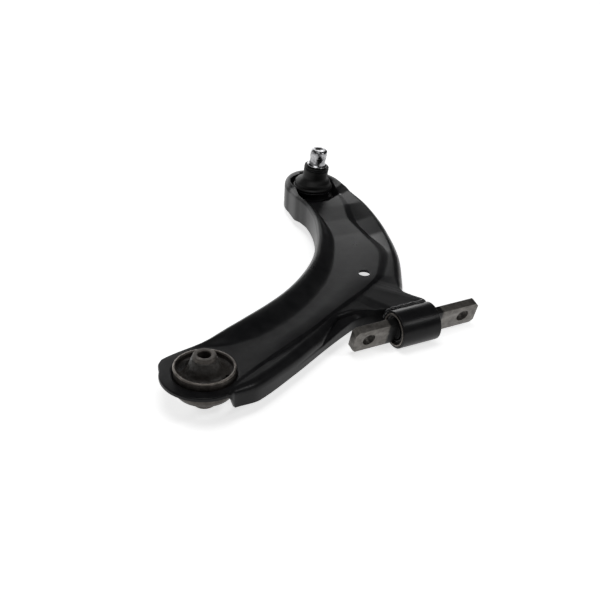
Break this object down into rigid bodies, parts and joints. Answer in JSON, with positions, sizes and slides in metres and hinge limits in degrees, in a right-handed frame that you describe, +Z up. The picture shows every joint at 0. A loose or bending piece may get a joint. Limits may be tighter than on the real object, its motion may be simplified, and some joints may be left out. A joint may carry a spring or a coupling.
{
  "type": "suspension control arm",
  "caption": "Pressed-steel lower control arm with a vertical rear bush, a front bush on a flat bar pin and a booted ball joint.",
  "frame": {"origin": "on the rear bush's axis, level with the top of the sheet round it", "axes": "+X along the front bar pin from the rear bush's side to the far end, +Y outboard towards the ball joint, +Z up, out of the ball joint's boot"},
  "size_m": [0.4262, 0.4561, 0.1014],
  "materials": {
    "e_coat": "glossy black dip coat",
    "bare_steel": "phosphated, brown-grey",
    "stud_steel": "turned, bright",
    "weld": "coated weld bead",
    "rubber": "matte",
    "bearing_plastic": "natural",
    "ring_steel": "spring steel"
  },
  "bodies": {
    "arm": {"arm_shell": "e_coat", "front_bush_tube": "e_coat", "front_tube_welds": "weld", "front_bush_outer_sleeve": "bare_steel", "front_bush_rubber": "rubber", "rear_bush_outer_sleeve": "bare_steel", "rear_bush_rubber": "rubber", "ball_joint_housing": "e_coat", "ball_joint_bearing": "bearing_plastic", "ball_joint_cover_plate": "ring_steel", "ball_joint_snap_ring": "ring_steel", "boot_lower_ring": "ring_steel"},
    "front_bar": {"front_bar_pin": "bare_steel"},
    "rear_inner": {"rear_bush_inner_sleeve": "bare_steel"},
    "boot": {"ball_joint_boot": "rubber"},
    "boot_collar": {"boot_upper_ring": "ring_steel"},
    "stud": {"ball_stud": "stud_steel"}
  },
  "joints": [
    {"name": "front_bar_twist", "type": "hinge", "parent": "arm", "child": "front_bar", "pos_m": [0, 0.0114, -0.0172], "axis": [1, 0, 0], "range_deg": [-15, 15], "stiffness_Nm_per_rad": 90, "deforming": ["front_bush_rubber"]},
    {"name": "rear_bush_tilt", "type": "hinge", "parent": "arm", "child": "rear_inner", "pos_m": [0, 0, -0.0085], "axis": [1, 0, 0], "range_deg": [-8, 8], "stiffness_Nm_per_rad": 120, "deforming": ["rear_bush_rubber"]},
    {"name": "ball_tilt_x", "type": "hinge", "parent": "arm", "child": "boot", "pos_m": [0.3268, 0.3589, -0.009], "axis": [1, 0, 0], "range_deg": [-19, 13], "deforming": ["ball_joint_boot"]},
    {"name": "ball_tilt_y", "type": "hinge", "parent": "boot", "child": "boot_collar", "pos_m": [0.3268, 0.3589, -0.009], "axis": [0, 0.9986, 0.0523], "range_deg": [-21, 11]},
    {"name": "stud_spin", "type": "hinge", "parent": "boot_collar", "child": "stud", "pos_m": [0.3268, 0.3589, -0.009], "axis": [0.0872, -0.0521, 0.9948], "continuous": true}
  ]
}
